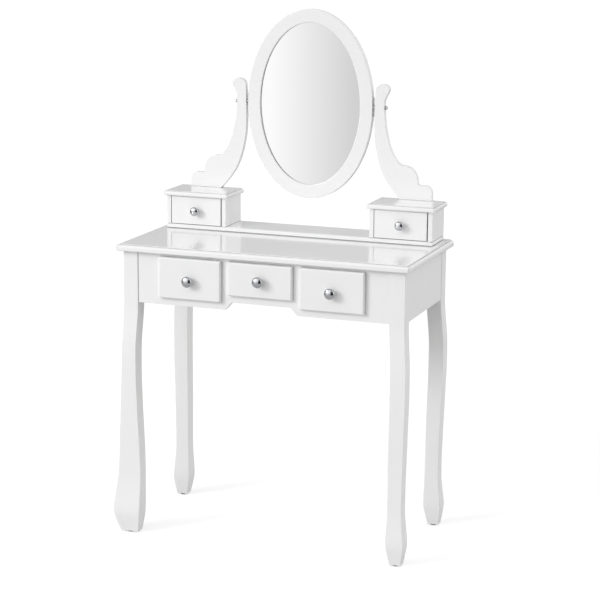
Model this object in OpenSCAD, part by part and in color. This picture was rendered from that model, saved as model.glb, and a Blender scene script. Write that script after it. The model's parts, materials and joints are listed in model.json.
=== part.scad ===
// Dressing table: a writing-height table on four curved legs, three drawers under the top,
// a low shelf at the back with two small drawer boxes, and an oval mirror that tilts
// between two scrolled supports. Millimetres, +Z up, the front faces -Y.

/* [Table] */
// Width of the table top
top_width = 800; // [760:840]
// Depth of the table top
top_depth = 402; // [380:430]
// Height of the table top above the floor
table_height = 788; // [740:800]
// Thickness of the table top
top_thickness = 18; // [15:25]
// Width of a leg at the top
leg_size = 40; // [34:46]
// How far the legs stand in from the ends of the top
leg_inset_x = 16.5; // [10:25]
// How far the front legs stand in from the front edge of the top
leg_inset_front = 16; // [10:25]
// How far the back legs stand in from the back edge of the top
leg_inset_back = 12; // [5:25]
// Outward spread of the front left foot, which is wider than the others
left_foot_spread = 33; // [8:36]

/* [Frame] */
// Height of the lower edge of the frame above the floor
frame_bottom = 634; // [600:660]
// Rise of the frame's lower edge below the centre drawer
frame_step = 20; // [0:30]
// Thickness of the frame boards
board = 15; // [12:18]

/* [Drawers] */
// Distance from the middle to the near edge of a side drawer front
side_front_start = 108; // [100:120]
// Width of a side drawer front
side_front_width = 172; // [160:190]
// Height of a side drawer front
side_front_height = 108; // [90:115]
// Width of the centre drawer front
centre_front_width = 174; // [160:190]
// Height of the centre drawer front
centre_front_height = 88; // [70:95]
// Thickness of the drawer fronts
front_thickness = 12; // [10:14]
// Diameter of the large knobs
knob_diameter = 29; // [24:32]
// Diameter of the small knobs
small_knob_diameter = 25; // [20:28]

/* [Drawer boxes on top] */
// Width of the low shelf board
shelf_width = 750; // [700:780]
// Depth of the low shelf board
shelf_depth = 113; // [100:140]
// Thickness of the low shelf board
shelf_thickness = 12; // [10:16]
// Distance between the two drawer boxes
box_gap = 406; // [380:430]
// Height of a box between the shelf and its lid
box_height = 78; // [60:90]
// Thickness of the box lids
lid_thickness = 13; // [10:16]
// How far a lid stands out past its box at the sides
lid_overhang = 8; // [4:12]

/* [Mirror] */
// Width of the oval mirror frame
mirror_width = 354; // [330:370]
// Height of the oval mirror frame
mirror_height = 506; // [460:520]
// Width of the ring around the glass
ring_width = 36; // [28:42]
// Thickness of the mirror frame
mirror_thickness = 18; // [15:22]
// Height of the pivots above the floor
pivot_height = 1131; // [1100:1160]
// Thickness of the two scrolled supports
support_thickness = 16; // [12:20]

/* [Hidden] */
$fn = 48;

white = [0.93, 0.93, 0.92];
inner = [0.88, 0.87, 0.84];
chrome = [0.75, 0.76, 0.78];
steel = [0.62, 0.63, 0.65];
dark = [0.12, 0.12, 0.12];
glass = [0.80, 0.84, 0.86];
hardboard = [0.45, 0.33, 0.22];

top_under = table_height - top_thickness;
half_top = top_width / 2;
leg_outer = half_top - leg_inset_x;
leg_inner = leg_outer - leg_size;
front_leg_y = leg_inset_front;
back_leg_y = top_depth - leg_inset_back - leg_size;
glide_height = 4;
front_y = front_leg_y - 10;
frame_y = front_y + front_thickness + 0.3;
frame_back = frame_y + board;
back_apron_y = back_leg_y + leg_size - board - 1;
front_top = top_under - 8.5;
side_centre = side_front_start + side_front_width / 2;
lap = 12;
box_clear = 2;
box_wall = 10;
runner_end = back_apron_y;
drawer_box_end = back_apron_y - 42;
shelf_front = top_depth - 12 - shelf_depth;
shelf_top = table_height + shelf_thickness;
back_block_y = front_leg_y + back_leg_y + leg_size - back_apron_y;
box_near = box_gap / 2;
box_far = shelf_width / 2;
box_centre = (box_near + box_far) / 2;
box_width = box_far - box_near;
box_panel = 12;
box_front = shelf_front + 2;
box_back_end = shelf_front + shelf_depth - 1;
lid_bottom = shelf_top + box_height;
lid_top = lid_bottom + lid_thickness;
lid_front = shelf_front - 7;
lid_back = shelf_front + shelf_depth + 1;
support_front = lid_back - 1 - support_thickness;
mirror_mid = support_front + support_thickness / 2;
mirror_a = mirror_width / 2;
mirror_b = mirror_height / 2;
rebate_y = mirror_mid - mirror_thickness / 2 + 6;
flat_x = mirror_a - 1.5;
knob_reach = 25;
small_knob_reach = 22;
drawer_hang = 0.8;
spread_out = leg_outer + left_foot_spread;
shift_x = (spread_out - half_top) / 2;
shift_y = -(top_depth + front_y - knob_reach) / 2;

// Height above the floor, shift of the outer face and shift of the inner face of a leg.
plain_profile = [[4, 2.5, 12.5], [14, 4, 10.5], [34, 6.8, 6.5], [56, 8.8, 3], [92, 5.5, 3],
    [130, 2, 4], [190, 1.5, 4.5], [270, 3, 4.5], [360, 5.5, 6], [450, 7.5, 7],
    [520, 7, 6.5], [575, 3, 3], [625, 0, 0], [top_under, 0, 0]];
spread_profile = [[4, left_foot_spread - 17.5, 5.5], [14, left_foot_spread - 13.5, 4],
    [34, left_foot_spread - 6, 1.5], [60, left_foot_spread, -0.5],
    [96, left_foot_spread - 2, -1.5], [128, left_foot_spread - 7, -2],
    [165, left_foot_spread - 12, -2.5], [225, left_foot_spread - 15.5, -1.5],
    [285, left_foot_spread - 18, 1], [365, left_foot_spread - 22.5, 4],
    [440, 6.5, 5.5], [520, 4, 5], [575, 1.5, 2], [625, 0, 0], [top_under, 0, 0]];

// Half width and height points of the outer and inner outline of a scrolled support.
support_outer = [[256, 0], [344, 0], [344, 16], [343.2, 26], [340, 33], [334, 38], [325, 40],
    [312, 40], [305, 40.5], [304.5, 46], [303.5, 56], [300.5, 66], [295, 76], [287, 83.5],
    [277, 88.2], [266, 90], [257, 91.5], [249, 97], [241, 107], [234, 119], [228, 132],
    [222, 149], [217, 170], [213, 190], [210.5, 212], [209, 235], [208.5, 250],
    [209.5, 260], [212, 268], [216.5, 275.5], [220.5, 282.5], [222, 290], [219, 297],
    [212, 301.5], [203, 302.5], [194, 300.5], [187.5, 296], [184.5, 289], [183.5, 278]];
support_inner = [[183, 262], [182, 230], [181.5, 200], [182, 175], [184, 152],
    [187.5, 130], [192.5, 108], [200, 83], [211, 57], [227, 33], [242, 15]];

function slope(p, i, c) = (i == 0 || i == len(p) - 1) ? 0
    : (p[i + 1][c] - p[i - 1][c]) / (p[i + 1][0] - p[i - 1][0]);
function span(p, z, i = 0) = (i >= len(p) - 2 || z <= p[i + 1][0]) ? i : span(p, z, i + 1);
function blend(p, i, t, c) = let (h = p[i + 1][0] - p[i][0])
    (2 * t * t * t - 3 * t * t + 1) * p[i][c] + (t * t * t - 2 * t * t + t) * h * slope(p, i, c)
    + (3 * t * t - 2 * t * t * t) * p[i + 1][c] + (t * t * t - t * t) * h * slope(p, i + 1, c);
function curve(p, z, c) = let (i = span(p, z))
    blend(p, i, (z - p[i][0]) / (p[i + 1][0] - p[i][0]), c);
function leg_levels() = concat([for (z = [4, 7, 10, 14, 19, 25, 34, 44, 54, 64, 76, 88]) z],
    [for (z = [100 : 20 : 560]) z], [575, 590, 605, 625, top_under]);
function arc(cx, cy, r, a0, a1, n) = [for (i = [0 : n])
    let (a = a0 + (a1 - a0) * i / n) [cx + r * cos(a), cy + r * sin(a)]];
function oval(a, b, n) = [for (i = [0 : n - 1]) [a * cos(360 * i / n), b * sin(360 * i / n)]];

// Puts a piece drawn about the middle of the top's front edge into the shared frame.
module placed() {
    translate([shift_x, shift_y, 0]) children();
}

module block(x0, x1, y0, y1, z0, z1) {
    translate([x0, y0, z0]) cube([x1 - x0, y1 - y0, z1 - z0]);
}

// Outline of one leg in one plane, outer face at zero and inner face at -leg_size.
module leg_outline(profile) {
    levels = leg_levels();
    polygon(concat([for (z = levels) [curve(profile, z, 1), z]],
        [for (i = [len(levels) - 1 : -1 : 0])
            [curve(profile, levels[i], 2) - leg_size, levels[i]]]));
}

// A leg cut from a square post in two planes, outer corner at the origin towards +X and -Y.
module leg(profile_x, profile_y) {
    difference() {
        intersection() {
            translate([0, 100, 0]) rotate([90, 0, 0])
                linear_extrude(height = 200) leg_outline(profile_x);
            rotate([0, 0, -90]) translate([0, 100, 0]) rotate([90, 0, 0])
                linear_extrude(height = 200) leg_outline(profile_y);
        }
        translate([-leg_size, leg_size, bolt_height()]) rotate([0, 90, -45])
            translate([0, 0, -10]) cylinder(h = 32, r = 4.1);
    }
}

function bolt_height() = top_under - 55;

// Edge moulding of a board: a rounded nose with a small step up to the top face.
function moulding(t, step, inset) = concat(arc(3, 3, 3, 270, 180, 5),
    [for (a = [170 : -10 : 100]) [inset * (1 + cos(a)), t - step - inset + inset * sin(a)]],
    [[inset + 0.2, t - step], [inset + 0.2, t - step - 0.8], [inset + 1.4, t - step - 0.8],
    [inset + 1.4, t - 0.6], [inset + 2.2, t]]);

// The same for a board that stands on another: its foot is set back by a thin groove.
function footed_moulding(t, step, inset) = concat([[1.8, 0], [1.8, 1.3]], arc(1.5, 2.8, 1.5, 270, 180, 3),
    [for (a = [170 : -10 : 100]) [inset * (1 + cos(a)), t - step - inset + inset * sin(a)]],
    [[inset + 0.3, t - step], [inset + 0.3, t - 0.5], [inset + 0.9, t]]);

// Plan of a board with its two front corners rounded.
module corner_plan(w, d, r) {
    polygon(concat(arc(r, r, r, 180, 270, 6), arc(w - r, r, r, 270, 360, 6), [[w, d], [0, d]]));
}

// A board with the moulding on its front and two ends.
module moulded_board(x0, x1, y0, y1, z0, t, edge, corner) {
    n = len(edge);
    w = x1 - x0;
    d = y1 - y0;
    intersection() {
        translate([x0, y0, z0]) linear_extrude(height = t) corner_plan(w, d, corner);
        translate([x0, y1, z0]) rotate([90, 0, 0]) linear_extrude(height = d)
            polygon(concat([for (i = [0 : n - 1]) edge[i]],
                [for (i = [n - 1 : -1 : 0]) [w - edge[i][0], edge[i][1]]]));
        translate([x0, y0, z0]) rotate([90, 0, 90]) linear_extrude(height = w)
            polygon(concat([[d, 0]], [for (i = [0 : n - 1]) edge[i]], [[d, t]]));
    }
}

module table_top() {
    color(white) placed()
        moulded_board(-half_top, half_top, 0, top_depth, top_under, top_thickness,
            moulding(top_thickness, 2.2, 6.5), 9);
}

module front_frame() {
    low = frame_bottom;
    mid = frame_bottom + frame_step;
    color(white) placed() translate([0, frame_back, 0]) rotate([90, 0, 0])
        linear_extrude(height = board) difference() {
            polygon([[-leg_inner, low], [-98, low], [-80, mid], [80, mid], [98, low],
                [leg_inner, low], [leg_inner, top_under], [-leg_inner, top_under]]);
            for (s = [-1, 1])
                translate([s * side_centre, front_top - side_front_height / 2])
                    square([side_front_width - 2 * lap, side_front_height - 2 * lap],
                        center = true);
            translate([0, front_top - centre_front_height / 2])
                square([centre_front_width - 2 * lap, centre_front_height - 2 * lap],
                    center = true);
        }
}

module back_apron() {
    color(white) placed()
        block(-leg_inner, leg_inner, back_apron_y, back_apron_y + board,
            frame_bottom, top_under);
}

module side_apron(side) {
    placed() mirror([side < 0 ? 1 : 0, 0, 0])
        block(leg_outer - board - 1, leg_outer - 1, front_leg_y + leg_size, back_leg_y,
            frame_bottom, top_under);
}
module left_apron() {
    color(white) side_apron(-1);
}
module right_apron() {
    color(white) side_apron(1);
}

module front_left_leg() {
    color(white) placed() translate([-leg_outer, front_leg_y, 0]) mirror([1, 0, 0])
        leg(spread_profile, plain_profile);
}
module front_right_leg() {
    color(white) placed() translate([leg_outer, front_leg_y, 0])
        leg(plain_profile, plain_profile);
}
module back_left_leg() {
    color(white) placed() translate([-leg_outer, back_leg_y + leg_size, 0])
        mirror([1, 0, 0]) mirror([0, 1, 0]) leg(plain_profile, plain_profile);
}
module back_right_leg() {
    color(white) placed() translate([leg_outer, back_leg_y + leg_size, 0])
        mirror([0, 1, 0]) leg(plain_profile, plain_profile);
}

// One L-shaped runner; the drawer box edge is at x = 0 and the box lies towards +X.
module runner(box_bottom) {
    block(-12, -1, frame_back, runner_end, box_bottom - 14, box_bottom + 24);
    block(-1, 9, frame_back, runner_end, box_bottom - 14, box_bottom - 0.4);
}

module runner_pair(centre, half_box, box_bottom) {
    translate([centre - half_box, 0, 0]) runner(box_bottom);
    translate([centre + half_box, 0, 0]) mirror([1, 0, 0]) runner(box_bottom);
}

module drawer_runners() {
    side_half = side_front_width / 2 - lap - box_clear;
    side_low = front_top - side_front_height + lap + box_clear;
    color(inner) placed() {
        runner_pair(-side_centre, side_half, side_low);
        runner_pair(side_centre, side_half, side_low);
        runner_pair(0, centre_front_width / 2 - lap - box_clear,
            front_top - centre_front_height + lap + box_clear);
    }
}

// Diagonal block across one inside corner, drawn for the corner at +X and -Y.
module corner_block(depth_y) {
    inside = leg_outer - board - 1;
    difference() {
        translate([0, 0, bolt_height() - 25]) linear_extrude(height = 50)
            polygon([[inside - 86, depth_y], [inside - 62, depth_y], [inside, depth_y + 62],
                [inside, depth_y + 86]]);
        bolt_line() cylinder(h = 70, r = 4.3);
    }
}

// Puts a child on the diagonal through the leg, running inwards from inside the leg.
module bolt_line() {
    translate([leg_inner, front_leg_y + leg_size, bolt_height()]) rotate([0, -90, -45])
        translate([0, 0, -10]) children();
}

// Puts its children at the two front corners, or turned about the middle to the two back ones.
module two_corners(back) {
    middle = (front_leg_y + back_leg_y + leg_size) / 2;
    for (sx = [0, 1])
        mirror([sx, 0, 0]) translate([0, back ? 2 * middle : 0, 0]) mirror([0, back ? 1 : 0, 0])
            children();
}

module corner_blocks() {
    color(inner) placed() {
        two_corners(false) corner_block(frame_back);
        two_corners(true) corner_block(back_block_y);
    }
}

module corner_bolt(depth) {
    seat = 10.6 + (depth + 86 - (leg_outer - board - 1) + leg_inner - front_leg_y - leg_size) / sqrt(2);
    bolt_line() {
        cylinder(h = 60, r = 4);
        translate([0, 0, seat]) cylinder(h = 1.6, r = 9);
        translate([0, 0, seat + 1.6]) cylinder(h = 6.5, r = 7.5, $fn = 6);
    }
}

module corner_bolts() {
    color(steel) placed() {
        two_corners(false) corner_bolt(frame_back);
        two_corners(true) corner_bolt(back_block_y);
    }
}

module foot_glides() {
    color(dark) placed() for (p = glide_places())
        translate([p[0], p[1], 0]) {
            cylinder(h = 2.4, r1 = 9.5, r2 = 11);
            translate([0, 0, 2.4]) cylinder(h = glide_height - 2.4, r = 11);
        }
}

// Middle of a leg's sole, which the glide sits under.
function glide_places() = let (m = 7 - leg_size / 2, y0 = front_leg_y - m,
    y1 = back_leg_y + leg_size + m)
    [[-(leg_outer + (left_foot_spread - 12 - leg_size) / 2), y0],
     [leg_outer + m, y0], [-(leg_outer + m), y1], [leg_outer + m, y1]];

module shelf_board() {
    color(white) placed() moulded_board(-shelf_width / 2, shelf_width / 2, shelf_front,
        shelf_front + shelf_depth, table_height, shelf_thickness,
        footed_moulding(shelf_thickness, 1.2, 2.4), 2);
}

module box_sides(side) {
    placed() mirror([side < 0 ? 1 : 0, 0, 0]) {
        block(box_near, box_near + box_panel, box_front, box_back_end, shelf_top, lid_bottom);
        block(box_far - box_panel, box_far, box_front, box_back_end, shelf_top, lid_bottom);
    }
}
module box_back(side) {
    placed() mirror([side < 0 ? 1 : 0, 0, 0])
        block(box_near + box_panel, box_far - box_panel, box_back_end - 6, box_back_end,
            shelf_top, lid_bottom);
}
module box_lid(side) {
    placed() mirror([side < 0 ? 1 : 0, 0, 0])
        moulded_board(box_near - lid_overhang, box_far + lid_overhang, lid_front, lid_back,
            lid_bottom, lid_thickness, moulding(lid_thickness, 1.8, 4.2), 5);
}
module left_box_sides() {
    color(white) box_sides(-1);
}
module left_box_back() {
    color(white) box_back(-1);
}
module left_box_lid() {
    color(white) box_lid(-1);
}
module right_box_sides() {
    color(white) box_sides(1);
}
module right_box_back() {
    color(white) box_back(1);
}
module right_box_lid() {
    color(white) box_lid(1);
}

// A scrolled support standing on a lid, with a hole for the pivot bolt.
module mirror_support(side) {
    placed() mirror([side < 0 ? 1 : 0, 0, 0]) difference() {
        translate([0, support_front + support_thickness, lid_top]) rotate([90, 0, 0])
            linear_extrude(height = support_thickness)
                polygon(concat(support_outer, support_inner));
        translate([170, mirror_mid, pivot_height]) rotate([0, 90, 0])
            cylinder(h = 50, r = 3.2);
    }
}
module left_mirror_support() {
    color(white) mirror_support(-1);
}
module right_mirror_support() {
    color(white) mirror_support(1);
}

module pivot_bolts() {
    color(steel) placed() for (m = [0, 1]) mirror([m, 0, 0])
        translate([0, mirror_mid, pivot_height]) rotate([0, 90, 0]) {
            translate([0, 0, mirror_a - 22]) cylinder(h = 57, r = 3);
            translate([0, 0, mirror_a + 1]) cylinder(h = 3.2, r = 6);
            translate([0, 0, 210.6]) cylinder(h = 1, r = 5.6);
            translate([0, 0, 211.6]) cylinder(h = 3, r = 4.4);
        }
}

module oval_plate(a, b, y0, y1) {
    translate([0, y1, pivot_height]) rotate([90, 0, 0]) linear_extrude(height = y1 - y0)
        polygon(oval(a, b, 120));
}

module mirror_frame() {
    y0 = mirror_mid - mirror_thickness / 2;
    y1 = y0 + mirror_thickness;
    color(white) placed() difference() {
        intersection() {
            union() {
                oval_plate(mirror_a, mirror_b, y0 + 2.5, y1 - 2);
                oval_plate(mirror_a - 0.8, mirror_b - 0.8, y0 + 1, y1 - 0.8);
                oval_plate(mirror_a - 2.4, mirror_b - 2.4, y0, y1);
            }
            block(-flat_x, flat_x, y0 - 1, y1 + 1, 0, pivot_height + mirror_b + 1);
        }
        oval_plate(mirror_a - ring_width, mirror_b - ring_width - 2, y0 - 1, y1 + 1);
        oval_plate(mirror_a - ring_width + 1.5, mirror_b - ring_width - 0.5, y0 - 1, y0 + 1.2);
        oval_plate(mirror_a - ring_width + 7, mirror_b - ring_width + 5, rebate_y, y1 + 1);
        translate([-mirror_a - 5, mirror_mid, pivot_height]) rotate([0, 90, 0])
            cylinder(h = 29, r = 3.06);
        translate([mirror_a - 24, mirror_mid, pivot_height]) rotate([0, 90, 0])
            cylinder(h = 29, r = 3.06);
    }
}

module mirror_glass() {
    color(glass) placed() oval_plate(mirror_a - ring_width + 6.5,
        mirror_b - ring_width + 4.5, rebate_y, rebate_y + 3);
}

module mirror_backing() {
    color(hardboard) placed() oval_plate(mirror_a - ring_width + 6.5,
        mirror_b - ring_width + 4.5, rebate_y + 3, rebate_y + 6);
}

// Angle, measured from the +X end of the oval, of each clip that holds the backing.
clip_angles = [25, 65, 115, 155, 205, 245, 295, 335];

// Puts a child on the back of the ring, pointing in towards the middle of the oval.
module at_clips() {
    for (a = clip_angles)
        translate([(mirror_a - ring_width + 17) * cos(a),
            mirror_mid + mirror_thickness / 2, pivot_height
            + (mirror_b - ring_width + 15) * sin(a)])
            rotate([-90, atan2((mirror_b) * sin(a), (mirror_a) * cos(a)), 0]) children();
}

module backing_clips() {
    color(steel) placed() at_clips() difference() {
        union() {
            cylinder(h = 1.2, r = 6);
            translate([-20, -6, 0]) cube([20, 12, 1.2]);
        }
        translate([0, 0, -1]) cylinder(h = 4, r = 1.9);
    }
}

module backing_screws() {
    color(steel) placed() at_clips() {
        translate([0, 0, 0.01]) cylinder(h = 1.2, r = 1.8);
        translate([0, 0, 1.2]) cylinder(h = 1.4, r1 = 3.4, r2 = 2.2);
    }
}

module pivot_plates() {
    color(steel) placed() for (m = [0, 1]) mirror([m, 0, 0])
        translate([flat_x, mirror_mid, pivot_height]) difference() {
            translate([0, -6, -26]) cube([2, 12, 52]);
            translate([-1, 0, 0]) rotate([0, 90, 0]) cylinder(h = 4, r = 3.06);
        }
}

// A drawer front with rounded front edges, centred on x, from z0 up.
module drawer_front(x, y, z0, w, h, t, r) {
    intersection() {
        translate([x, y, z0]) linear_extrude(height = h)
            polygon(concat([[-w / 2, t]], arc(r - w / 2, r, r, 180, 270, 6),
                arc(w / 2 - r, r, r, 270, 360, 6), [[w / 2, t]]));
        translate([x - w / 2, y, z0]) rotate([90, 0, 90]) linear_extrude(height = w)
            polygon(concat([[t, 0]], [for (p = arc(r, r, r, 270, 180, 6)) p],
                [for (p = arc(r, h - r, r, 180, 90, 6)) p], [[t, h]]));
    }
}

// The hole for the knob's screw through a drawer front.
module with_knob_hole(x, y, z, t) {
    difference() {
        children();
        translate([x, y - 1, z]) rotate([-90, 0, 0]) cylinder(h = t + 2, r = 2.3);
    }
}

// Each drawer box: middle, half width, front, end, lowest and highest height.
function side_box(s) = [s * side_centre, side_front_width / 2 - lap - box_clear,
    front_y + front_thickness, drawer_box_end,
    front_top - side_front_height + lap + box_clear, front_top - lap - 3, box_wall];
function centre_box() = [0, centre_front_width / 2 - lap - box_clear,
    front_y + front_thickness, drawer_box_end,
    front_top - centre_front_height + lap + box_clear, front_top - lap - 3, box_wall];
function small_box(s) = [s * box_centre, box_width / 2 - box_panel - 1.6,
    box_front + front_thickness, box_back_end - 8,
    shelf_top + 1, lid_bottom - 8, 8];

module box_walls(b) {
    placed() for (m = [0, 1]) translate([b[0], 0, 0]) mirror([m, 0, 0]) difference() {
        block(b[1] - b[6], b[1], b[2], b[3], b[4], b[5]);
        block(b[1] - b[6] - 1, b[1] - b[6] + 4, b[2] - 1, b[3] + 1, b[4] + 5, b[4] + 9);
    }
}
module box_rear(b) {
    placed() translate([b[0], 0, 0])
        block(b[6] - b[1], b[1] - b[6], b[3] - b[6], b[3], b[4] + 9, b[5]);
}
module box_bottom(b) {
    placed() translate([b[0], 0, 0])
        block(b[6] - b[1] - 3.6, b[1] - b[6] + 3.6, b[2], b[3], b[4] + 5.2, b[4] + 8.8);
}

// A turned round knob, standing out towards -Y from the origin.
module knob(d, reach) {
    r = d / 2;
    rotate([90, 0, 0]) difference() {
        rotate_extrude() polygon(concat([[0, 0], [r * 0.56, 0], [r * 0.56, 1.4]],
            arc(r * 0.36, reach * 0.32, r * 0.17, 250, 190, 4),
            arc(r * 0.62, reach * 0.62, r * 0.38, 262, 360, 8),
            [for (a = [10 : 10 : 80]) [r * cos(a) , reach * 0.62 + reach * 0.38 * sin(a)]],
            [[0, reach]]));
        translate([0, 0, -1]) cylinder(h = 11, r = 2.05);
    }
}

// The knob's screw, with its pan head inside the drawer.
module knob_screw(t) {
    rotate([-90, 0, 0]) {
        translate([0, 0, -8]) cylinder(h = t + 8.2, r = 2);
        translate([0, 0, t]) cylinder(h = 1, r = 4.6);
        translate([0, 0, t + 1]) cylinder(h = 1.4, r1 = 4.4, r2 = 3);
    }
}

function side_knob_z() = front_top - side_front_height / 2 - 3;
function centre_knob_z() = front_top - centre_front_height / 2 + 1;
function small_knob_z() = shelf_top + box_height / 2;

module side_front(s) {
    color(white) placed() with_knob_hole(s * side_centre, front_y, side_knob_z(),
        front_thickness)
        drawer_front(s * side_centre, front_y, front_top - side_front_height,
            side_front_width, side_front_height, front_thickness, 4.5);
}
module small_front(s) {
    color(white) placed() with_knob_hole(s * box_centre, box_front, small_knob_z(),
        front_thickness)
        drawer_front(s * box_centre - drawer_hang, box_front, shelf_top + 1,
            box_width - 2 * box_panel - 4, box_height - 2, front_thickness, 1.5);
}
module side_knob(s) {
    color(chrome) placed() translate([s * side_centre, front_y, side_knob_z()])
        knob(knob_diameter, knob_reach);
}
module small_knob(s) {
    color(chrome) placed() translate([s * box_centre, box_front, small_knob_z()])
        knob(small_knob_diameter, small_knob_reach);
}
module side_screw(s) {
    color(steel) placed() translate([s * side_centre, front_y, side_knob_z()])
        knob_screw(front_thickness);
}
module small_screw(s) {
    color(steel) placed() translate([s * box_centre, box_front, small_knob_z()])
        knob_screw(front_thickness);
}

module left_drawer_front() {
    side_front(-1);
}
module left_drawer_sides() {
    color(inner) box_walls(side_box(-1));
}
module left_drawer_back() {
    color(inner) box_rear(side_box(-1));
}
module left_drawer_bottom() {
    color(inner) box_bottom(side_box(-1));
}
module left_drawer_knob() {
    side_knob(-1);
}
module left_drawer_screw() {
    side_screw(-1);
}

module centre_drawer_front() {
    color(white) placed() with_knob_hole(0, front_y, centre_knob_z(), front_thickness)
        drawer_front(0, front_y, front_top - centre_front_height, centre_front_width,
            centre_front_height, front_thickness, 4.5);
}
module centre_drawer_sides() {
    color(inner) box_walls(centre_box());
}
module centre_drawer_back() {
    color(inner) box_rear(centre_box());
}
module centre_drawer_bottom() {
    color(inner) box_bottom(centre_box());
}
module centre_drawer_knob() {
    color(chrome) placed() translate([0, front_y, centre_knob_z()])
        knob(knob_diameter, knob_reach);
}
module centre_drawer_screw() {
    color(steel) placed() translate([0, front_y, centre_knob_z()])
        knob_screw(front_thickness);
}

module right_drawer_front() {
    side_front(1);
}
module right_drawer_sides() {
    color(inner) box_walls(side_box(1));
}
module right_drawer_back() {
    color(inner) box_rear(side_box(1));
}
module right_drawer_bottom() {
    color(inner) box_bottom(side_box(1));
}
module right_drawer_knob() {
    side_knob(1);
}
module right_drawer_screw() {
    side_screw(1);
}

module left_small_drawer_front() {
    small_front(-1);
}
module left_small_drawer_sides() {
    color(inner) box_walls(small_box(-1));
}
module left_small_drawer_back() {
    color(inner) box_rear(small_box(-1));
}
module left_small_drawer_bottom() {
    color(inner) box_bottom(small_box(-1));
}
module left_small_drawer_knob() {
    small_knob(-1);
}
module left_small_drawer_screw() {
    small_screw(-1);
}

module right_small_drawer_front() {
    small_front(1);
}
module right_small_drawer_sides() {
    color(inner) box_walls(small_box(1));
}
module right_small_drawer_back() {
    color(inner) box_rear(small_box(1));
}
module right_small_drawer_bottom() {
    color(inner) box_bottom(small_box(1));
}
module right_small_drawer_knob() {
    small_knob(1);
}
module right_small_drawer_screw() {
    small_screw(1);
}

table_top();
front_frame();
back_apron();
left_apron();
right_apron();
front_left_leg();
front_right_leg();
back_left_leg();
back_right_leg();
drawer_runners();
corner_blocks();
corner_bolts();
foot_glides();
shelf_board();
left_box_sides();
left_box_back();
left_box_lid();
right_box_sides();
right_box_back();
right_box_lid();
left_mirror_support();
right_mirror_support();
pivot_bolts();
mirror_frame();
mirror_glass();
mirror_backing();
backing_clips();
backing_screws();
pivot_plates();
left_drawer_front();
left_drawer_sides();
left_drawer_back();
left_drawer_bottom();
left_drawer_knob();
left_drawer_screw();
centre_drawer_front();
centre_drawer_sides();
centre_drawer_back();
centre_drawer_bottom();
centre_drawer_knob();
centre_drawer_screw();
right_drawer_front();
right_drawer_sides();
right_drawer_back();
right_drawer_bottom();
right_drawer_knob();
right_drawer_screw();
left_small_drawer_front();
left_small_drawer_sides();
left_small_drawer_back();
left_small_drawer_bottom();
left_small_drawer_knob();
left_small_drawer_screw();
right_small_drawer_front();
right_small_drawer_sides();
right_small_drawer_back();
right_small_drawer_bottom();
right_small_drawer_knob();
right_small_drawer_screw();
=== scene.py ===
import json
import math

import bmesh
import bpy
from mathutils import Matrix, Vector

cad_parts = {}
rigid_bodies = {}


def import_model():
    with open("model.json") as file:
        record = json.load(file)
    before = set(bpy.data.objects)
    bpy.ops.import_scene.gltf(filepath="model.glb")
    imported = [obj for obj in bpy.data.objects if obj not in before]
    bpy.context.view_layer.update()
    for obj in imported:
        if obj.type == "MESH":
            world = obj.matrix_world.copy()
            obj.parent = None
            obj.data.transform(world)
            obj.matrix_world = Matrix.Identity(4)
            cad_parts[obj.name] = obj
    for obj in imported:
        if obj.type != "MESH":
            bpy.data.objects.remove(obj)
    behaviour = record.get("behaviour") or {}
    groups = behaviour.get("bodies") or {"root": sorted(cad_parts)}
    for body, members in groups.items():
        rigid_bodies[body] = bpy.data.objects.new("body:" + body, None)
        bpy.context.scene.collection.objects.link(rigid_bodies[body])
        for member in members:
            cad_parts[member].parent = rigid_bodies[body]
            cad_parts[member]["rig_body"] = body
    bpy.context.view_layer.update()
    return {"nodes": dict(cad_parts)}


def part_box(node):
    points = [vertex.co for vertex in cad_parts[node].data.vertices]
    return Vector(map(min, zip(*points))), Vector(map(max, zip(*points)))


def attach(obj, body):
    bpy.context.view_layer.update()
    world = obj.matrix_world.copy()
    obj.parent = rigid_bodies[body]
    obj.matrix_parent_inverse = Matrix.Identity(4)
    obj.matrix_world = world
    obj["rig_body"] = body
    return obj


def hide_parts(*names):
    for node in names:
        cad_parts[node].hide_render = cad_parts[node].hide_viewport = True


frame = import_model()
cadNodes = frame["nodes"]
mm = 0.001
drawers = ("left_drawer", "centre_drawer", "right_drawer", "left_small_drawer", "right_small_drawer")
print("frame loaded:", len(cadNodes), "nodes")


def hexColour(code):
    # sRGB hex to linear, as the shader sockets want it
    parts = [int(code[i:i + 2], 16) / 255 for i in (0, 2, 4)]
    return [c / 12.92 if c <= 0.04045 else ((c + 0.055) / 1.055) ** 2.4 for c in parts] + [1]


def addNode(tree, kind, values=None, links=None, **settings):
    node = tree.nodes.new(kind)
    for key, value in settings.items():
        setattr(node, key, value)
    for key, value in (values or {}).items():
        node.inputs[key].default_value = value
    for key, source in (links or {}).items():
        tree.links.new(source, node.inputs[key])
    return node


def linkObject(name, mesh):
    piece = bpy.data.objects.new(name, mesh)
    bpy.context.scene.collection.objects.link(piece)
    return piece


# ---- camera
view = {"place": (1.7346, -4.6645, 1.7107), "turn": 19.84, "tip": -12.22, "roll": 0.51, "lens": 115.7}


def makeCamera():
    camera = bpy.data.objects.new("studioCamera", bpy.data.cameras.new("studioCamera"))
    bpy.context.scene.collection.objects.link(camera)
    camera.data.lens = view["lens"]
    camera.data.sensor_width = 36
    camera.data.clip_end = 60
    turn = Matrix.Rotation(math.radians(view["turn"]), 4, "Z")
    tip = Matrix.Rotation(math.radians(90 + view["tip"]), 4, "X")
    roll = Matrix.Rotation(math.radians(view["roll"]), 4, "Z")
    camera.matrix_world = Matrix.Translation(view["place"]) @ turn @ tip @ roll
    bpy.context.scene.camera = camera


makeCamera()
print("camera placed")


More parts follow.
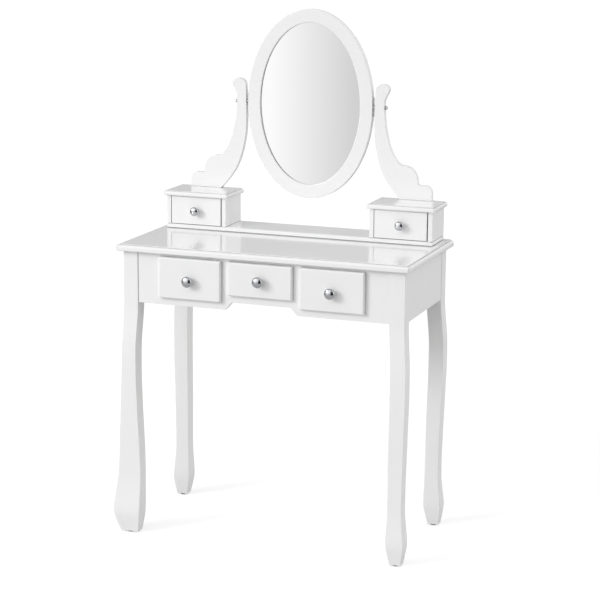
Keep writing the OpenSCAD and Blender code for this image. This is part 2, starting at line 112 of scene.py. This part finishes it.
# ---- materials
def startMaterial(name):
    material = bpy.data.materials.new(name)
    material.use_nodes = True
    tree = material.node_tree
    shader = tree.nodes["Principled BSDF"]
    place = tree.nodes.new("ShaderNodeTexCoord").outputs["Object"]
    return material, tree, shader, place


def addBump(tree, shader, texture, strength, depth):
    bump = addNode(tree, "ShaderNodeBump", {"Strength": strength, "Distance": depth},
                   {"Height": texture.outputs["Fac"]})
    tree.links.new(bump.outputs["Normal"], shader.inputs["Normal"])


def mixColours(tree, shader, first, second, factor):
    tint = addNode(tree, "ShaderNodeMix", {"A": hexColour(first), "B": hexColour(second)},
                   {"Factor": factor}, data_type="RGBA")
    tree.links.new(tint.outputs["Result"], shader.inputs["Base Color"])


def varyRoughness(tree, shader, texture, ends, across=(0, 1)):
    dull = addNode(tree, "ShaderNodeMapRange", {"From Min": across[0], "From Max": across[1],
                   "To Min": ends[0], "To Max": ends[1]}, {"Value": texture.outputs["Fac"]})
    tree.links.new(dull.outputs["Result"], shader.inputs["Roughness"])


# the crease grey is painted shade and dust, laid into joints and the foot of mouldings by ambient occlusion
lacquerLook = {"white": "F6F6F6", "shade": "F2F2F2", "creaseShadeAndDust": "9C9C9B", "creaseWidth": 0.0042,
               "creaseFrom": 0.3, "creaseTo": 0.75, "cloudSize": 0.18, "cloudFrom": 0.3, "cloudTo": 0.7,
               "wetter": 0.03, "drier": 0.04, "peelSize": 0.009, "peelDepth": 0.00002, "peelStrength": 0.35,
               "creaseRays": 8, "refraction": 1.48, "coatRoughness": 0.08}


def sprayedLacquer(name, roughness, coat):
    # polyurethane lacquer sprayed on fibreboard: an even white with a faint orange peel,
    #  and a sheen that is a little duller where the spray fell dry; joints and moulding feet carry painted
    #  shade and dust
    material, tree, shader, place = startMaterial(name)
    look = lacquerLook
    cloud = addNode(tree, "ShaderNodeTexNoise", {"Scale": 1 / look["cloudSize"], "Detail": 3},
                    {"Vector": place}).outputs["Fac"]
    white = addNode(tree, "ShaderNodeMix", {"A": hexColour(look["white"]), "B": hexColour(look["shade"])},
                    {"Factor": cloud}, data_type="RGBA")
    # painted shade with some dust greys the joints between boards and the foot of each moulding, wherever
    # ambient occlusion finds a nearby surface
    creaseOcclusion = addNode(tree, "ShaderNodeAmbientOcclusion", {"Distance": look["creaseWidth"]},
                   samples=look["creaseRays"])
    creaseShadeMask = addNode(tree, "ShaderNodeMapRange", {"From Min": look["creaseFrom"], "From Max": look["creaseTo"]},
                    {"Value": creaseOcclusion.outputs["AO"]})
    tint = addNode(tree, "ShaderNodeMix", {"A": hexColour(look["creaseShadeAndDust"])},
                   {"Factor": creaseShadeMask.outputs["Result"], "B": white.outputs["Result"]}, data_type="RGBA")
    tree.links.new(tint.outputs["Result"], shader.inputs["Base Color"])
    sheen = addNode(tree, "ShaderNodeMapRange",
                    {"From Min": look["cloudFrom"], "From Max": look["cloudTo"],
                     "To Min": roughness - look["wetter"], "To Max": roughness + look["drier"]},
                    {"Value": cloud})
    tree.links.new(sheen.outputs["Result"], shader.inputs["Roughness"])
    peel = addNode(tree, "ShaderNodeTexNoise", {"Scale": 1 / look["peelSize"], "Detail": 2}, {"Vector": place})
    addBump(tree, shader, peel, look["peelStrength"], look["peelDepth"])
    shader.inputs["IOR"].default_value = look["refraction"]
    shader.inputs["Coat Weight"].default_value = coat
    shader.inputs["Coat Roughness"].default_value = look["coatRoughness"]
    return material


boardLook = {"pale": "EFEEE9", "grain": "E2DFD6", "grainAcross": 0.004, "grainAlong": 0.12, "grainFrom": 0.42,
             "grainTo": 0.68, "grainDepth": 0.00004, "roughness": 0.55}


def paperFacedBoard(name):
    # chipboard faced with printed paper: a pale, dull face with a thin grain along the board
    material, tree, shader, place = startMaterial(name)
    look = boardLook
    across, along = 1 / look["grainAcross"], 1 / look["grainAlong"]
    stretch = addNode(tree, "ShaderNodeMapping", {"Scale": (across, along, across)}, {"Vector": place})
    grain = addNode(tree, "ShaderNodeTexNoise", {"Scale": 1.0, "Detail": 6, "Roughness": 0.65},
                    {"Vector": stretch.outputs["Vector"]})
    lines = addNode(tree, "ShaderNodeMapRange", {"From Min": look["grainFrom"], "From Max": look["grainTo"]},
                    {"Value": grain.outputs["Fac"]})
    mixColours(tree, shader, look["pale"], look["grain"], lines.outputs["Result"])
    addBump(tree, shader, grain, 0.3, look["grainDepth"])
    shader.inputs["Roughness"].default_value = look["roughness"]
    return material


chromeLook = {"colour": "C4C5C8", "hazeSize": 0.006, "roughness": (0.04, 0.11)}


def polishedChrome(name):
    # bright chrome plate over a turned and buffed zinc knob: clear reflections, slightly hazed by buffing
    material, tree, shader, place = startMaterial(name)
    haze = addNode(tree, "ShaderNodeTexNoise", {"Scale": 1 / chromeLook["hazeSize"], "Detail": 4},
                   {"Vector": place})
    varyRoughness(tree, shader, haze, chromeLook["roughness"])
    shader.inputs["Base Color"].default_value = hexColour(chromeLook["colour"])
    shader.inputs["Metallic"].default_value = 1
    return material


zincLook = {"cloudSize": 0.005, "uneven": 0.1}


def zincPlate(name, paleColour, greyColour, roughness):
    # zinc on steel hardware: a cool grey with cloudy plating and a satin surface
    material, tree, shader, place = startMaterial(name)
    cloud = addNode(tree, "ShaderNodeTexNoise", {"Scale": 1 / zincLook["cloudSize"], "Detail": 5},
                    {"Vector": place})
    mixColours(tree, shader, paleColour, greyColour, cloud.outputs["Fac"])
    varyRoughness(tree, shader, cloud, (roughness - zincLook["uneven"], roughness + zincLook["uneven"]))
    shader.inputs["Metallic"].default_value = 1
    return material


glassLook = {"colour": "F4F4F4", "dustSize": 0.05, "dustAcross": (0.35, 0.75), "roughness": (0.005, 0.03)}


def silveredGlass(name):
    # float glass silvered on its back: a near perfect mirror, a little dulled where dust lies
    material, tree, shader, place = startMaterial(name)
    dust = addNode(tree, "ShaderNodeTexNoise", {"Scale": 1 / glassLook["dustSize"], "Detail": 6},
                   {"Vector": place})
    varyRoughness(tree, shader, dust, glassLook["roughness"], glassLook["dustAcross"])
    shader.inputs["Base Color"].default_value = hexColour(glassLook["colour"])
    shader.inputs["Metallic"].default_value = 1
    return material


hardboardLook = {"pale": "8A6A48", "dark": "5C4229", "mottleSize": 0.008, "fleckSize": 0.0025,
                 "fibreDepth": 0.0001, "roughness": 0.7}


def pressedHardboard(name):
    # brown hardboard, pressed from wet fibre: mottled, with short flecks and a dull skin
    material, tree, shader, place = startMaterial(name)
    look = hardboardLook
    mottle = addNode(tree, "ShaderNodeTexNoise",
                     {"Scale": 1 / look["mottleSize"], "Detail": 8, "Roughness": 0.7}, {"Vector": place})
    fleck = addNode(tree, "ShaderNodeTexVoronoi", {"Scale": 1 / look["fleckSize"]}, {"Vector": place})
    both = addNode(tree, "ShaderNodeMath", None, {0: mottle.outputs["Fac"], 1: fleck.outputs["Distance"]},
                   operation="MULTIPLY")
    mixColours(tree, shader, look["pale"], look["dark"], both.outputs["Value"])
    addBump(tree, shader, mottle, 0.4, look["fibreDepth"])
    shader.inputs["Roughness"].default_value = look["roughness"]
    return material


polytheneLook = {"colour": "1C1C1D", "skinSize": 0.0012, "skinDepth": 0.00005, "roughness": (0.4, 0.55)}


def mouldedPolythene(name):
    # black moulded polythene: waxy, with the fine texture of the mould
    material, tree, shader, place = startMaterial(name)
    skin = addNode(tree, "ShaderNodeTexNoise", {"Scale": 1 / polytheneLook["skinSize"], "Detail": 3},
                   {"Vector": place})
    addBump(tree, shader, skin, 0.3, polytheneLook["skinDepth"])
    varyRoughness(tree, shader, skin, polytheneLook["roughness"])
    shader.inputs["Base Color"].default_value = hexColour(polytheneLook["colour"])
    return material


lacquer = sprayedLacquer("whiteLacquerSprayed", 0.32, 0.15)
topLacquer = sprayedLacquer("whiteLacquerRubbed", 0.16, 0.6)
drawerBoard = paperFacedBoard("chipboardPaperFaced")
chrome = polishedChrome("chromePlatePolished")
zinc = zincPlate("steelZincPlated", "C9CACC", "A9ABAE", 0.32)
dullZinc = zincPlate("steelZincTumbled", "E4E5E6", "CFD1D3", 0.6)
mirrorGlass = silveredGlass("floatGlassSilvered")
hardboard = pressedHardboard("hardboardPressed")
polythene = mouldedPolythene("polytheneMoulded")
print("materials made")


# ---- boards: each CAD solid gets its doubles merged and its edges rounded as sanding leaves them
weld = {"gap": 0.01 * mm, "flat": 0.5}


def smoothOutwards(mesh, work):
    # writes the working copy back to its mesh with its faces turned outwards and smooth
    bmesh.ops.recalc_face_normals(work, faces=work.faces)
    work.to_mesh(mesh)
    work.free()
    for polygon in mesh.polygons:
        polygon.use_smooth = True


def weldedCopy(node):
    mesh = cadNodes[node].data.copy()
    mesh.materials.clear()
    work = bmesh.new()
    work.from_mesh(mesh)
    bmesh.ops.remove_doubles(work, verts=work.verts, dist=weld["gap"])
    bmesh.ops.dissolve_limit(work, angle_limit=math.radians(weld["flat"]), verts=work.verts, edges=work.edges)
    smoothOutwards(mesh, work)
    return mesh


def bodyOf(node):
    return cadNodes[node]["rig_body"]


def settle(piece, node):
    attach(piece, bodyOf(node))
    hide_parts(node)


edgeLook = {"limit": 28, "faceWeight": 60}


def roundedBoard(node, radius, material, segments=3):
    piece = linkObject(node + "_finished", weldedCopy(node))
    piece.data.materials.append(material)
    bevel = piece.modifiers.new("sandedEdge", "BEVEL")
    bevel.width = radius * mm
    bevel.segments = segments
    bevel.limit_method = "ANGLE"
    bevel.angle_limit = math.radians(edgeLook["limit"])
    bevel.use_clamp_overlap = True
    bevel.miter_outer = "MITER_ARC"
    normals = piece.modifiers.new("evenShading", "WEIGHTED_NORMAL")
    normals.keep_sharp = False
    normals.weight = edgeLook["faceWeight"]
    settle(piece, node)


# edge radii in mm
lacqueredBoards = {
    "table_top": 0.5, "shelf_board": 0.4, "left_box_lid": 0.4, "right_box_lid": 0.4,
    "front_frame": 0.8, "back_apron": 0.8, "left_apron": 0.8, "right_apron": 0.8,
    "left_box_sides": 0.7, "right_box_sides": 0.7, "left_box_back": 0.5, "right_box_back": 0.5,
    "front_left_leg": 2.2, "front_right_leg": 2.2, "back_left_leg": 2.2, "back_right_leg": 2.2,
    "left_mirror_support": 1.2, "right_mirror_support": 1.2,
    "left_drawer_front": 0.5, "centre_drawer_front": 0.5, "right_drawer_front": 0.5,
    "left_small_drawer_front": 0.4, "right_small_drawer_front": 0.4,
}
plainBoards = {"drawer_runners": 0.8, "corner_blocks": 1.0}
drawerBoards = {"_sides": 0.3, "_back": 0.3, "_bottom": 0.3}
hardware = {"corner_bolts": zinc, "pivot_bolts": zinc, "pivot_plates": dullZinc, "backing_clips": zinc}
hardwareEdge = 0.25
glossyBoards = ("table_top", "shelf_board", "left_box_lid", "right_box_lid")

for node, radius in lacqueredBoards.items():
    roundedBoard(node, radius, topLacquer if node in glossyBoards else lacquer)
for drawer in drawers:
    for part, radius in drawerBoards.items():
        roundedBoard(drawer + part, radius, drawerBoard, 2)
for node, radius in plainBoards.items():
    roundedBoard(node, radius, drawerBoard, 2)
roundedBoard("mirror_backing", 0.2, hardboard, 1)
roundedBoard("foot_glides", 0.5, polythene, 2)
for node, metal in hardware.items():
    roundedBoard(node, hardwareEdge, metal, 2)
print("boards finished")


# ---- turned and swept pieces: a profile carried round an oval path, which is cut flat at its sides
def sweepTree():
    tree = bpy.data.node_groups.new("sweepRoundOval", "GeometryNodeTree")
    face = tree.interface
    face.new_socket("Geometry", in_out="OUTPUT", socket_type="NodeSocketGeometry")
    for name in ("Half Width", "Half Height", "Fillet", "Flat At"):
        face.new_socket(name, in_out="INPUT", socket_type="NodeSocketFloat")
    face.new_socket("Segments", in_out="INPUT", socket_type="NodeSocketInt")
    face.new_socket("Profile", in_out="INPUT", socket_type="NodeSocketObject")
    face.new_socket("Material", in_out="INPUT", socket_type="NodeSocketMaterial")
    given = addNode(tree, "NodeGroupInput").outputs
    circle = addNode(tree, "GeometryNodeCurvePrimitiveCircle", {"Radius": 1.0},
                     {"Resolution": given["Segments"]})
    size = addNode(tree, "ShaderNodeCombineXYZ", {"Z": 1.0},
                   {"X": given["Half Width"], "Y": given["Half Height"]})
    spot = addNode(tree, "GeometryNodeInputPosition")
    wide = addNode(tree, "ShaderNodeVectorMath", None,
                   {0: spot.outputs["Position"], 1: size.outputs["Vector"]}, operation="MULTIPLY")
    path = addNode(tree, "GeometryNodeSetPosition", None,
                   {"Geometry": circle.outputs["Curve"], "Position": wide.outputs["Vector"]})
    shape = addNode(tree, "GeometryNodeObjectInfo", None, {"Object": given["Profile"]})
    soft = addNode(tree, "GeometryNodeFilletCurve", {"Count": 4, "Limit Radius": True},
                   {"Curve": shape.outputs["Geometry"], "Radius": given["Fillet"]}, mode="POLY")
    skin = addNode(tree, "GeometryNodeCurveToMesh", None,
                   {"Curve": path.outputs["Geometry"], "Profile Curve": soft.outputs["Curve"]})
    split = addNode(tree, "ShaderNodeSeparateXYZ", None, {"Vector": spot.outputs["Position"]}).outputs
    limit = addNode(tree, "ShaderNodeClamp", None, {"Value": split["X"], "Max": given["Flat At"],
                    "Min": addNode(tree, "ShaderNodeMath", {1: -1.0}, {0: given["Flat At"]},
                                   operation="MULTIPLY").outputs["Value"]})
    trimmed = addNode(tree, "ShaderNodeCombineXYZ", None,
                      {"X": limit.outputs["Result"], "Y": split["Y"], "Z": split["Z"]})
    flats = addNode(tree, "GeometryNodeSetPosition", None,
                    {"Geometry": skin.outputs["Mesh"], "Position": trimmed.outputs["Vector"]})
    closed = addNode(tree, "GeometryNodeMergeByDistance", {"Distance": 0.02 * mm},
                     {"Geometry": flats.outputs["Geometry"]})
    real = addNode(tree, "GeometryNodeRealizeInstances", None, {"Geometry": closed.outputs["Geometry"]})
    painted = addNode(tree, "GeometryNodeSetMaterial", None,
                      {"Geometry": real.outputs["Geometry"], "Material": given["Material"]})
    addNode(tree, "NodeGroupOutput", None, {"Geometry": painted.outputs["Geometry"]})
    return tree


def bakeTree(name, tree, inputs, place=Matrix.Identity(4), base=None):
    # runs the tree once, keeps its result as a plain mesh, and turns its faces outwards
    carrier = linkObject(name, base or bpy.data.meshes.new(name))
    modifier = carrier.modifiers.new(name, "NODES")
    modifier.node_group = tree
    sockets = {item.name: item.identifier for item in tree.interface.items_tree if item.in_out == "INPUT"}
    for key, value in inputs.items():
        modifier[sockets[key]] = value
    depsgraph = bpy.context.evaluated_depsgraph_get()
    mesh = bpy.data.meshes.new_from_object(carrier.evaluated_get(depsgraph))
    carrier.modifiers.clear()
    mesh.transform(place)
    work = bmesh.new()
    work.from_mesh(mesh)
    smoothOutwards(mesh, work)
    carrier.data = mesh
    return carrier


def profileCurve(name, points, closed):
    line = bpy.data.curves.new(name, "CURVE")
    line.dimensions = "3D"
    spline = line.splines.new("POLY")
    spline.points.add(len(points) - 1)
    for point, (across, along) in zip(spline.points, points):
        point.co = (across, along, 0, 1)
    spline.use_cyclic_u = closed
    return linkObject(name, line)


sweep = sweepTree()


def evenShade(piece, angle):
    piece.data.set_sharp_from_angle(angle=math.radians(angle))
    normals = piece.modifiers.new("evenShading", "WEIGHTED_NORMAL")
    normals.keep_sharp = True


ring = {"width": 0.036, "flatDepth": 0.0015, "lip": 0.007, "rebate": 0.006, "fillet": 0.0022, "segments": 192,
        "sharp": 40}


def makeMirrorFrame():
    low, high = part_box("mirror_frame")
    middle = (low + high) / 2
    flatAt = (high.x - low.x) / 2
    halfWidth = flatAt + ring["flatDepth"]
    halfHeight = (high.z - low.z) / 2
    deep = high.y - low.y
    half = ring["width"] / 2
    outline = [(-half, 0), (half, 0), (half, deep), (ring["lip"] - half, deep),
               (ring["lip"] - half, ring["rebate"]), (-half, ring["rebate"])]
    profile = profileCurve("ringProfile", [(x, y - deep / 2) for x, y in outline], True)
    place = Matrix.Translation(middle) @ Matrix.Rotation(math.radians(90), 4, "X")
    piece = bakeTree("mirror_ring", sweep, {"Half Width": halfWidth - half, "Half Height": halfHeight - half,
                     "Flat At": flatAt, "Fillet": ring["fillet"], "Segments": ring["segments"],
                     "Profile": profile, "Material": lacquer}, place)
    bpy.data.objects.remove(profile)
    evenShade(piece, ring["sharp"])
    settle(piece, "mirror_frame")


makeMirrorFrame()
cadNodes["mirror_glass"].data.materials.clear()
cadNodes["mirror_glass"].data.materials.append(mirrorGlass)
print("mirror made")

# widths are parts of the knob's radius, and heights are parts of its reach
knobShape = {"segments": 64, "fillet": 0.0005, "sharp": 50, "crownSteps": 14, "rim": 0.66,
             "stem": ((0.56, 0), (0.56, 0.055), (0.44, 0.13), (0.34, 0.24), (0.34, 0.36), (0.46, 0.46),
                      (0.86, 0.52), (1, 0.66))}


def knobOutline(radius, reach):
    # foot flange, waisted neck, undercut head, then a low dome to the middle
    rim = knobShape["rim"]
    points = [(0, 0)] + [(wide * radius, high * reach) for wide, high in knobShape["stem"]]
    for step in range(1, knobShape["crownSteps"] + 1):
        angle = math.pi / 2 * step / knobShape["crownSteps"]
        points.append((radius * math.cos(angle), (rim + (1 - rim) * math.sin(angle)) * reach))
    return points


def makeKnob(drawer):
    node = drawer + "_knob"
    low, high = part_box(node)
    radius = (high.x - low.x) / 2
    points = [(across - radius, -along) for across, along in knobOutline(radius, high.y - low.y)]
    profile = profileCurve("knobProfile", points, False)
    place = Matrix.Translation(((low.x + high.x) / 2, high.y, (low.z + high.z) / 2)) \
        @ Matrix.Rotation(math.radians(90), 4, "X")
    piece = bakeTree(node + "_turned", sweep, {"Half Width": radius, "Half Height": radius, "Flat At": radius,
                     "Fillet": knobShape["fillet"], "Segments": knobShape["segments"],
                     "Profile": profile, "Material": chrome}, place)
    bpy.data.objects.remove(profile)
    evenShade(piece, knobShape["sharp"])
    settle(piece, node)


for drawer in drawers:
    makeKnob(drawer)
print("knobs turned")

screwHead = {"radius": 0.0036, "top": 0.72, "high": 0.0016, "recess": 0.0022, "arm": 0.0007, "deep": 0.0018,
             "sides": 20, "sunk": 0.0003, "clipShank": 0.0018, "knobShank": 0.002, "turnMost": 1.5, "seed": 7}


def screwHeadMesh():
    # a pan head: a low dome with a cross recess pressed into it
    work = bmesh.new()
    bmesh.ops.create_cone(work, cap_ends=True, segments=screwHead["sides"], radius1=screwHead["radius"],
                          radius2=screwHead["radius"] * screwHead["top"], depth=screwHead["high"])
    bmesh.ops.translate(work, verts=work.verts, vec=(0, 0, screwHead["high"] / 2))
    mesh = bpy.data.meshes.new("screwHead")
    work.to_mesh(mesh)
    work.free()
    head = linkObject("screwHead", mesh)
    cutters = []
    for turn in (0, 90):
        work = bmesh.new()
        bmesh.ops.create_cube(work, size=1)
        bmesh.ops.scale(work, verts=work.verts,
                        vec=(2 * screwHead["recess"], 2 * screwHead["arm"], screwHead["deep"]))
        bmesh.ops.rotate(work, verts=work.verts, matrix=Matrix.Rotation(math.radians(turn), 3, "Z"))
        bmesh.ops.translate(work, verts=work.verts, vec=(0, 0, screwHead["high"]))
        mesh = bpy.data.meshes.new("screwRecess")
        work.to_mesh(mesh)
        work.free()
        cutters.append(linkObject("screwRecess", mesh))
        cut = head.modifiers.new("recess", "BOOLEAN")
        cut.object = cutters[-1]
    depsgraph = bpy.context.evaluated_depsgraph_get()
    cutMesh = bpy.data.meshes.new_from_object(head.evaluated_get(depsgraph))
    head.modifiers.clear()
    head.data = cutMesh
    for cutter in cutters:
        bpy.data.objects.remove(cutter)
    return head


def fastenerTree():
    tree = bpy.data.node_groups.new("fastenersOnPoints", "GeometryNodeTree")
    face = tree.interface
    face.new_socket("Geometry", in_out="OUTPUT", socket_type="NodeSocketGeometry")
    face.new_socket("Geometry", in_out="INPUT", socket_type="NodeSocketGeometry")
    face.new_socket("Head", in_out="INPUT", socket_type="NodeSocketObject")
    face.new_socket("Aim", in_out="INPUT", socket_type="NodeSocketVector")
    face.new_socket("Turn Seed", in_out="INPUT", socket_type="NodeSocketInt")
    face.new_socket("Material", in_out="INPUT", socket_type="NodeSocketMaterial")
    given = addNode(tree, "NodeGroupInput").outputs
    head = addNode(tree, "GeometryNodeObjectInfo", None, {"Object": given["Head"]})
    aim = addNode(tree, "FunctionNodeAlignRotationToVector", None, {"Vector": given["Aim"]}, axis="Z")
    turn = addNode(tree, "FunctionNodeRandomValue", {"Min": 0.0, "Max": screwHead["turnMost"]},
                   {"Seed": given["Turn Seed"]})
    spin = addNode(tree, "ShaderNodeCombineXYZ", None, {"Z": turn.outputs["Value"]})
    both = addNode(tree, "FunctionNodeRotateRotation", None,
                   {"Rotation": aim.outputs["Rotation"], "Rotate By": spin.outputs["Vector"]},
                   rotation_space="LOCAL")
    placed = addNode(tree, "GeometryNodeInstanceOnPoints", None,
                     {"Points": given["Geometry"], "Instance": head.outputs["Geometry"],
                      "Rotation": both.outputs["Rotation"]})
    real = addNode(tree, "GeometryNodeRealizeInstances", None, {"Geometry": placed.outputs["Instances"]})
    painted = addNode(tree, "GeometryNodeSetMaterial", None,
                      {"Geometry": real.outputs["Geometry"], "Material": given["Material"]})
    addNode(tree, "NodeGroupOutput", None, {"Geometry": painted.outputs["Geometry"]})
    return tree


def solidBoxes(node):
    # the low and high corners of each loose solid in a CAD node
    work = bmesh.new()
    work.from_mesh(cadNodes[node].data)
    bmesh.ops.remove_doubles(work, verts=work.verts, dist=weld["gap"])
    seen = set()
    found = []
    for start in work.verts:
        if start in seen:
            continue
        seen.add(start)
        stack = [start]
        spots = []
        while stack:
            vert = stack.pop()
            spots.append(vert.co.copy())
            for edge in vert.link_edges:
                other = edge.other_vert(vert)
                if other not in seen:
                    seen.add(other)
                    stack.append(other)
        low = Vector([min(s[i] for s in spots) for i in range(3)])
        high = Vector([max(s[i] for s in spots) for i in range(3)])
        found.append((low, high))
    work.free()
    # sorted, so that the screws get the same turns in every run
    return sorted(found, key=lambda box: (round(box[0].z, 5), round(box[0].x, 5)))


def addShanks(mesh, solids, radius):
    # plain steel shanks under the heads, as long as each CAD screw
    work = bmesh.new()
    work.from_mesh(mesh)
    for low, high in solids:
        length = high.y - low.y - screwHead["high"] + screwHead["sunk"]
        place = Matrix.Translation(((low.x + high.x) / 2, low.y + length / 2, (low.z + high.z) / 2)) \
            @ Matrix.Rotation(math.radians(90), 4, "X")
        bmesh.ops.create_cone(work, cap_ends=True, segments=screwHead["sides"], radius1=radius,
                              radius2=radius, depth=length, matrix=place)
    work.to_mesh(mesh)
    work.free()


def makeScrews(node, name, shank):
    points = bpy.data.meshes.new(name)
    solids = solidBoxes(node)
    spots = [((low.x + high.x) / 2, high.y - screwHead["high"], (low.z + high.z) / 2) for low, high in solids]
    points.from_pydata(spots, [], [])
    piece = bakeTree(name, fasteners, {"Head": head, "Aim": (0, 1, 0), "Turn Seed": screwHead["seed"],
                     "Material": zinc}, base=points)
    addShanks(piece.data, solids, shank)
    for polygon in piece.data.polygons:
        polygon.use_smooth = False
    settle(piece, node)


head = screwHeadMesh()
fasteners = fastenerTree()
makeScrews("backing_screws", "backing_screws_pan", screwHead["clipShank"])
for drawer in drawers:
    makeScrews(drawer + "_screw", drawer + "_screw_pan", screwHead["knobShank"])
bpy.data.objects.remove(head)
print("screws set")

# ---- studio: a pale floor, a white surround with soft panels and dark flags, and a key lamp at the front left
studio = {"floorRadius": 2.4, "floorColour": "CCCCCC", "floorRoughness": 0.9, "floorSheen": 0.1,
          "floorGlow": 0.537, "seen": 1.05, "base": 0.48, "darkest": 0.02,
          "panels": [{"towards": (-0.3, -0.92, 0.35), "inner": 20, "outer": 58, "gain": 0.98},
                     {"towards": (1, 0.15, 0.25), "inner": 20, "outer": 58, "gain": 0.84},
                     {"towards": (0.5, 0.8, 0.35), "inner": 10, "outer": 45, "gain": 0.5},
                     {"towards": (0, 0, -1), "inner": 70, "outer": 95, "gain": -0.36},
                     {"towards": (0.55, -0.81, 0.12), "inner": 25, "outer": 37, "gain": -0.95}],
          "card": {"towards": (-0.25, -0.94, -0.208), "inner": 14, "outer": 18, "across": (0.943, -0.334, 0),
                   "bright": (-0.022, 1.07), "dull": (0.022, 0.7)},
          "lamps": {"keySoftbox": {"place": (-5.0, -5.2, 3.9), "size": 2.4, "power": 207}},
          "aim": (0, 0, 0.6)}


def makeFloor():
    work = bmesh.new()
    bmesh.ops.create_circle(work, cap_ends=True, segments=96, radius=studio["floorRadius"])
    mesh = bpy.data.meshes.new("studioFloor")
    work.to_mesh(mesh)
    work.free()
    floor = linkObject("studioFloor", mesh)
    material, tree, shader, _ = startMaterial("paperSweepPale")
    # a pale floor that looks as white as its surround, but throws little light back up
    path = addNode(tree, "ShaderNodeLightPath").outputs
    glow = addNode(tree, "ShaderNodeMath", {1: studio["floorGlow"]}, {0: path["Is Camera Ray"]},
                   operation="MULTIPLY")
    tree.links.new(glow.outputs["Value"], shader.inputs["Emission Strength"])
    shader.inputs["Emission Color"].default_value = hexColour("FFFFFF")
    shader.inputs["Base Color"].default_value = hexColour(studio["floorColour"])
    shader.inputs["Roughness"].default_value = studio["floorRoughness"]
    shader.inputs["Specular IOR Level"].default_value = studio["floorSheen"]
    mesh.materials.append(material)


def panelGlow(tree, towards, panel, gain):
    facing = addNode(tree, "ShaderNodeVectorMath", {1: Vector(panel["towards"]).normalized()},
                     {0: towards}, operation="DOT_PRODUCT")
    glow = addNode(tree, "ShaderNodeMapRange", {"From Min": math.cos(math.radians(panel["outer"])),
                   "From Max": math.cos(math.radians(panel["inner"])), "To Max": gain},
                   {"Value": facing.outputs["Value"]})
    return glow.outputs["Result"]


def makeWorld():
    # the surround looks white behind the object, and lights it like a room of soft panels and flags
    world = bpy.data.worlds.new("softbox")
    world.use_nodes = True
    bpy.context.scene.world = world
    tree = world.node_tree
    tree.nodes.clear()
    towards = addNode(tree, "ShaderNodeTexCoord").outputs["Generated"]
    total = addNode(tree, "ShaderNodeMath", {0: studio["base"], 1: 0.0}).outputs["Value"]
    for panel in studio["panels"]:
        glow = panelGlow(tree, towards, panel, panel["gain"])
        total = addNode(tree, "ShaderNodeMath", None, {0: total, 1: glow}).outputs["Value"]
    # a card low at the front left, which the mirror sees, dulls softly from its left edge
    card = studio["card"]
    across = addNode(tree, "ShaderNodeVectorMath", {1: card["across"]}, {0: towards}, operation="DOT_PRODUCT")
    shade = addNode(tree, "ShaderNodeMapRange", {"From Min": card["bright"][0], "From Max": card["dull"][0],
                    "To Min": card["bright"][1], "To Max": card["dull"][1]}, {"Value": across.outputs["Value"]})
    total = addNode(tree, "ShaderNodeMix", None, {"Factor": panelGlow(tree, towards, card, 1),
                    "A": total, "B": shade.outputs["Result"]}).outputs["Result"]
    total = addNode(tree, "ShaderNodeMath", {1: studio["darkest"]}, {0: total},
                    operation="MAXIMUM").outputs["Value"]
    path = addNode(tree, "ShaderNodeLightPath").outputs
    strength = addNode(tree, "ShaderNodeMix", {"B": studio["seen"]},
                       {"Factor": path["Is Camera Ray"], "A": total})
    sky = addNode(tree, "ShaderNodeBackground", {"Color": (1, 1, 1, 1)},
                  {"Strength": strength.outputs["Result"]})
    addNode(tree, "ShaderNodeOutputWorld", None, {"Surface": sky.outputs["Background"]})


def makeLamp(name, values):
    lamp = bpy.data.lights.new(name, "AREA")
    lamp.shape = "SQUARE"
    lamp.size = values["size"]
    lamp.energy = values["power"]
    light = bpy.data.objects.new(name, lamp)
    bpy.context.scene.collection.objects.link(light)
    light.location = values["place"]
    aim = Vector(studio["aim"]) - light.location
    light.rotation_euler = aim.to_track_quat("-Z", "Y").to_euler()


makeFloor()
makeWorld()
for name, values in studio["lamps"].items():
    makeLamp(name, values)
bpy.context.scene.view_settings.view_transform = "Standard"
print("studio lit")
